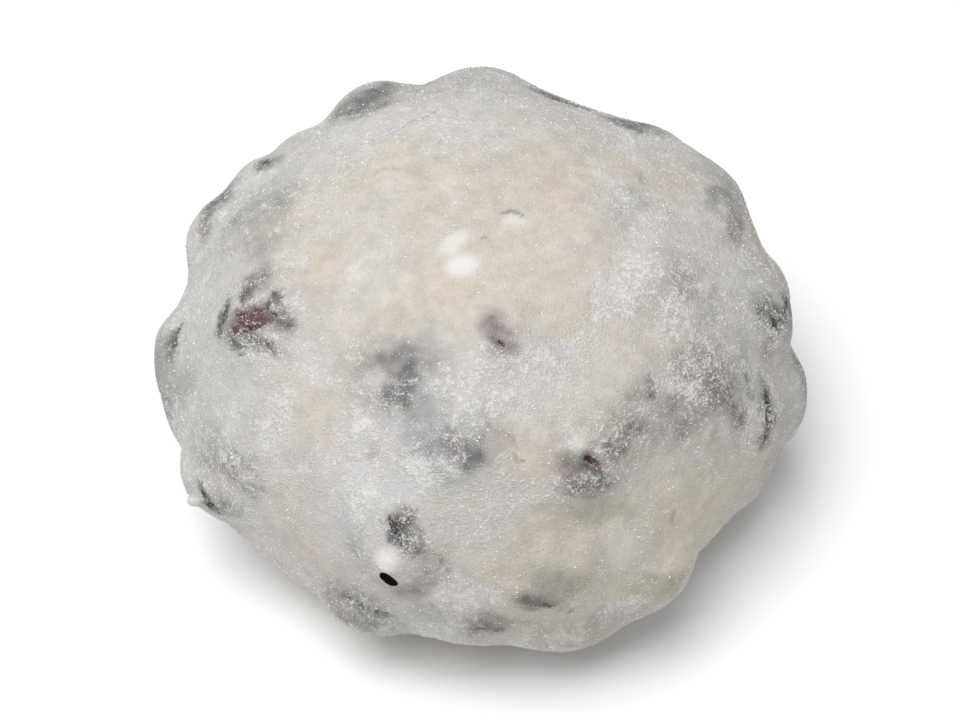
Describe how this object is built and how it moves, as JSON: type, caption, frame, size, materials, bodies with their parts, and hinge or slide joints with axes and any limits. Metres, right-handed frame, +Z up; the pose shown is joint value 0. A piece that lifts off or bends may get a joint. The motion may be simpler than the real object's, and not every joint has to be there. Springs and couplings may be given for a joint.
{
  "type": "mochi rice cake",
  "caption": "Soft round rice cake with a flat base and whole beans kneaded under its starch-dusted skin, some breaking through.",
  "frame": {"origin": "middle of the footprint, on the flat base that the cake rests on", "axes": "+Z up; -Y towards the viewer, the side that the main picture looks down on; +X to the viewer's right"},
  "size_m": [0.0634, 0.06, 0.038],
  "materials": {
    "dough": "matte",
    "dark_bean": "satin",
    "red_bean": "satin",
    "starch": "matte"
  },
  "bodies": {
    "root": {"mochi": "dough", "bean_left_red": "red_bean", "bean_crown_front": "red_bean", "bean_front": "dark_bean", "bean_front_right": "red_bean", "bean_right_high": "dark_bean", "bean_right_low": "dark_bean", "bean_low_left": "dark_bean", "bean_left_edge": "dark_bean", "bean_back_left": "dark_bean", "bean_back_right": "red_bean"}
  },
  "joints": []
}
